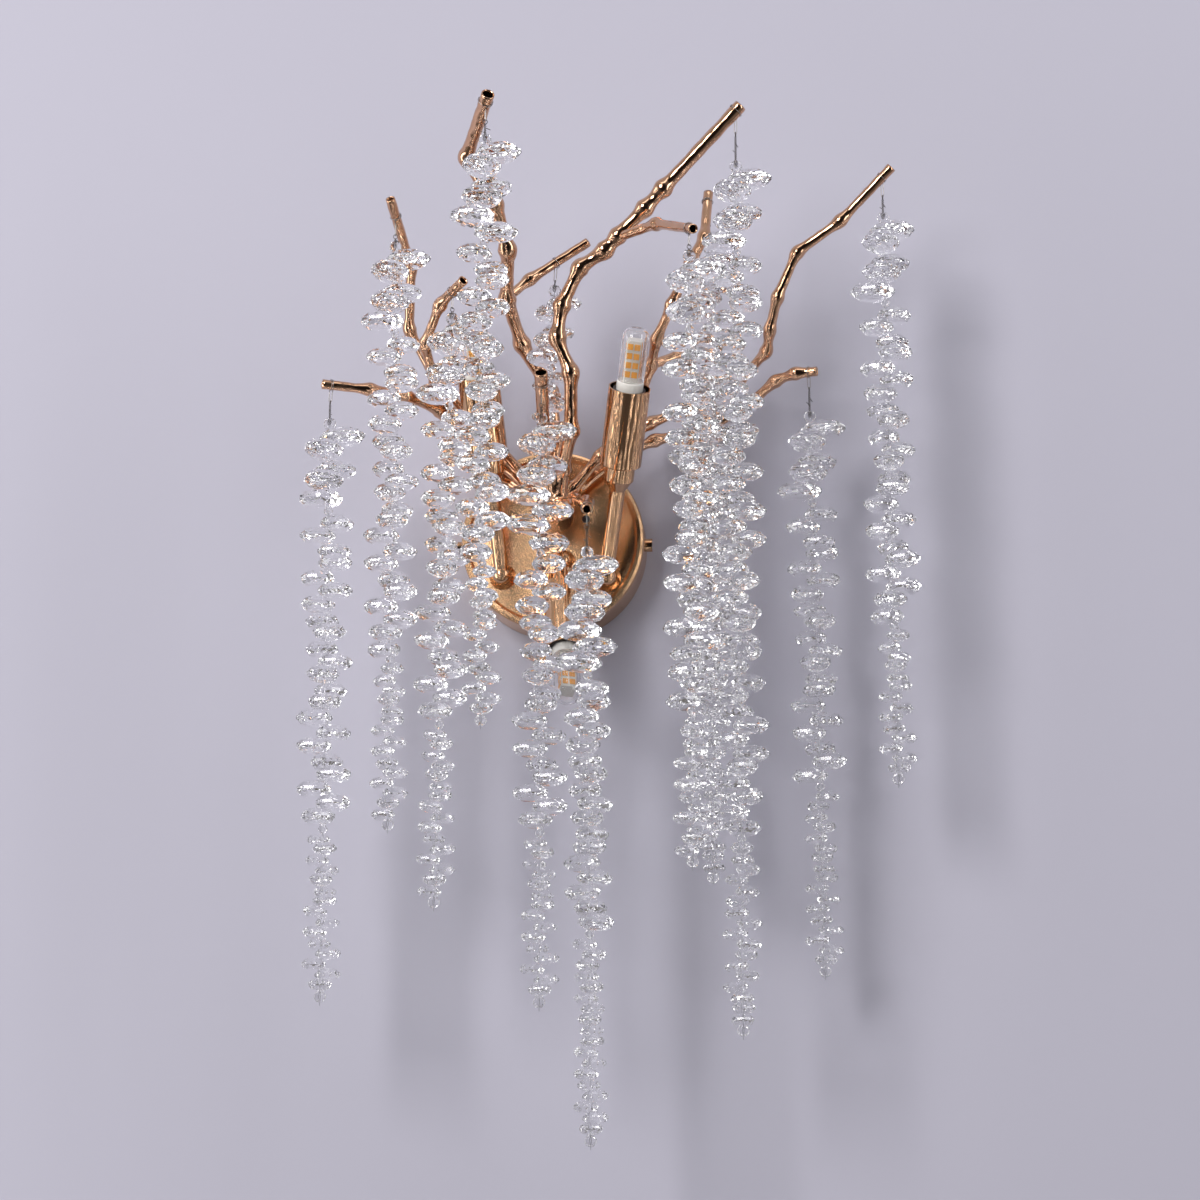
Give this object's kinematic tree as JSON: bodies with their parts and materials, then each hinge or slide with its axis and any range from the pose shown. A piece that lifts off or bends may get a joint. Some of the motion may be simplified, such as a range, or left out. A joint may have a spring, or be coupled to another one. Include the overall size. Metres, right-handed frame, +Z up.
{
  "type": "wall sconce",
  "caption": "Wall sconce with bent tube branches, hanging strands of faceted crystals that swing, and pin-base bulbs that pull out of their cups",
  "frame": {"origin": "centre of the wall bracket's back face, on the wall plane", "axes": "+Y points into the wall, so the viewer stands at -Y; +X is the viewer's right; +Z is up; metres"},
  "size_m": [0.3615, 0.191, 0.6122],
  "materials": {
    "gold_metal": "polished rose gold plating",
    "steel": "zinc plated",
    "connector_white": "moulded",
    "ceramic": "glazed white ceramic",
    "clear_cover": "clear",
    "wire": "thin drawn wire",
    "crystal": "cut and polished"
  },
  "bodies": {
    "fixture": {"wall_bracket": "steel", "canopy": "gold_metal", "terminal_block": "connector_white", "screws_and_nuts": "gold_metal", "branch_hub": "gold_metal", "hanging_ties": "wire", "branch_tall_right": "gold_metal", "branch_tall_right_fork": "gold_metal", "branch_inner_right": "gold_metal", "branch_inner_right_fork": "gold_metal", "branch_far_right": "gold_metal", "branch_low_right": "gold_metal", "branch_low_left": "gold_metal", "branch_inner_left": "gold_metal", "branch_outer_left": "gold_metal", "branch_tall_left": "gold_metal", "branch_tall_left_fork": "gold_metal", "branch_front": "gold_metal", "branch_short": "gold_metal", "lamp_right_stem": "gold_metal", "lamp_right_cup": "gold_metal", "lamp_right_socket": "ceramic", "lamp_left_stem": "gold_metal", "lamp_left_cup": "gold_metal", "lamp_left_socket": "ceramic", "lamp_lower_stem": "gold_metal", "lamp_lower_cup": "gold_metal", "lamp_lower_socket": "ceramic"},
    "bulb_right": {"bulb_right_base": "ceramic", "bulb_right_cover": "clear_cover"},
    "bulb_left": {"bulb_left_base": "ceramic", "bulb_left_cover": "clear_cover"},
    "bulb_lower": {"bulb_lower_base": "ceramic", "bulb_lower_cover": "clear_cover"},
    "strand_01": {"strand_01_wire": "wire", "strand_01_crystals": "crystal"},
    "strand_02": {"strand_02_wire": "wire", "strand_02_crystals": "crystal"},
    "strand_03": {"strand_03_wire": "wire", "strand_03_crystals": "crystal"},
    "strand_04": {"strand_04_wire": "wire", "strand_04_crystals": "crystal"},
    "strand_05": {"strand_05_wire": "wire", "strand_05_crystals": "crystal"},
    "strand_06": {"strand_06_wire": "wire", "strand_06_crystals": "crystal"},
    "strand_07": {"strand_07_wire": "wire", "strand_07_crystals": "crystal"},
    "strand_08": {"strand_08_wire": "wire", "strand_08_crystals": "crystal"},
    "strand_09": {"strand_09_wire": "wire", "strand_09_crystals": "crystal"},
    "strand_10": {"strand_10_wire": "wire", "strand_10_crystals": "crystal"},
    "strand_11": {"strand_11_wire": "wire", "strand_11_crystals": "crystal"},
    "strand_12": {"strand_12_wire": "wire", "strand_12_crystals": "crystal"},
    "strand_13": {"strand_13_wire": "wire", "strand_13_crystals": "crystal"}
  },
  "joints": [
    {"name": "pull_bulb_right", "type": "slide", "parent": "fixture", "child": "bulb_right", "axis": [0.1513, -0.5464, 0.8238], "range_m": [0, 0.03]},
    {"name": "pull_bulb_left", "type": "slide", "parent": "fixture", "child": "bulb_left", "axis": [-0.0838, -0.3773, 0.9223], "range_m": [0, 0.03]},
    {"name": "pull_bulb_lower", "type": "slide", "parent": "fixture", "child": "bulb_lower", "axis": [0.0719, -0.4461, -0.8921], "range_m": [0, 0.03]},
    {"name": "swing_strand_01", "type": "hinge", "parent": "fixture", "child": "strand_01", "pos_m": [-0.12448, -0.10433, 0.06843], "axis": [-1, 0, 0], "range_deg": [-8, 30]},
    {"name": "swing_strand_02", "type": "hinge", "parent": "fixture", "child": "strand_02", "pos_m": [-0.08589, -0.11398, 0.1663], "axis": [-1, 0, 0], "range_deg": [-3, 30]},
    {"name": "swing_strand_03", "type": "hinge", "parent": "fixture", "child": "strand_03", "pos_m": [-0.05037, -0.12679, 0.11666], "axis": [-0.9998, 0, 0.0209], "range_deg": [-6, 8]},
    {"name": "swing_strand_04", "type": "hinge", "parent": "fixture", "child": "strand_04", "pos_m": [-0.02695, -0.17318, 0.2142], "axis": [-1, 0, 0], "range_deg": [-3, 30]},
    {"name": "swing_strand_05", "type": "hinge", "parent": "fixture", "child": "strand_05", "pos_m": [0.00481, -0.07252, 0.14928], "axis": [-0.9994, 0, 0.0349], "range_deg": [-3, 3]},
    {"name": "swing_strand_06", "type": "hinge", "parent": "fixture", "child": "strand_06", "pos_m": [0.00071, -0.11501, 0.06124], "axis": [-1, 0, 0], "range_deg": [-4, 4]},
    {"name": "swing_strand_07", "type": "hinge", "parent": "fixture", "child": "strand_07", "pos_m": [0.02934, -0.14273, -0.01841], "axis": [-1, 0, -0.007], "range_deg": [-8, 30]},
    {"name": "swing_strand_08", "type": "hinge", "parent": "fixture", "child": "strand_08", "pos_m": [0.11488, -0.12159, 0.2216], "axis": [0, 1, 0], "range_deg": [-10, 10]},
    {"name": "swing_strand_09", "type": "hinge", "parent": "fixture", "child": "strand_09", "pos_m": [0.08946, -0.16758, 0.13813], "axis": [0, 1, 0], "range_deg": [-15, 5]},
    {"name": "swing_strand_10", "type": "hinge", "parent": "fixture", "child": "strand_10", "pos_m": [0.09696, -0.08022, 0.1799], "axis": [0, 1, 0], "range_deg": [-10, 8]},
    {"name": "swing_strand_11", "type": "hinge", "parent": "fixture", "child": "strand_11", "pos_m": [0.15513, -0.05188, 0.0856], "axis": [-0.9999, 0, -0.014], "range_deg": [-5, 30]},
    {"name": "swing_strand_12", "type": "hinge", "parent": "fixture", "child": "strand_12", "pos_m": [0.2005, -0.07994, 0.195], "axis": [-1, 0, -0.0087], "range_deg": [-5, 30]},
    {"name": "swing_strand_13", "type": "hinge", "parent": "fixture", "child": "strand_13", "pos_m": [0.09562, -0.0492, 0.10656], "axis": [0, 1, 0], "range_deg": [-8, 8]}
  ]
}
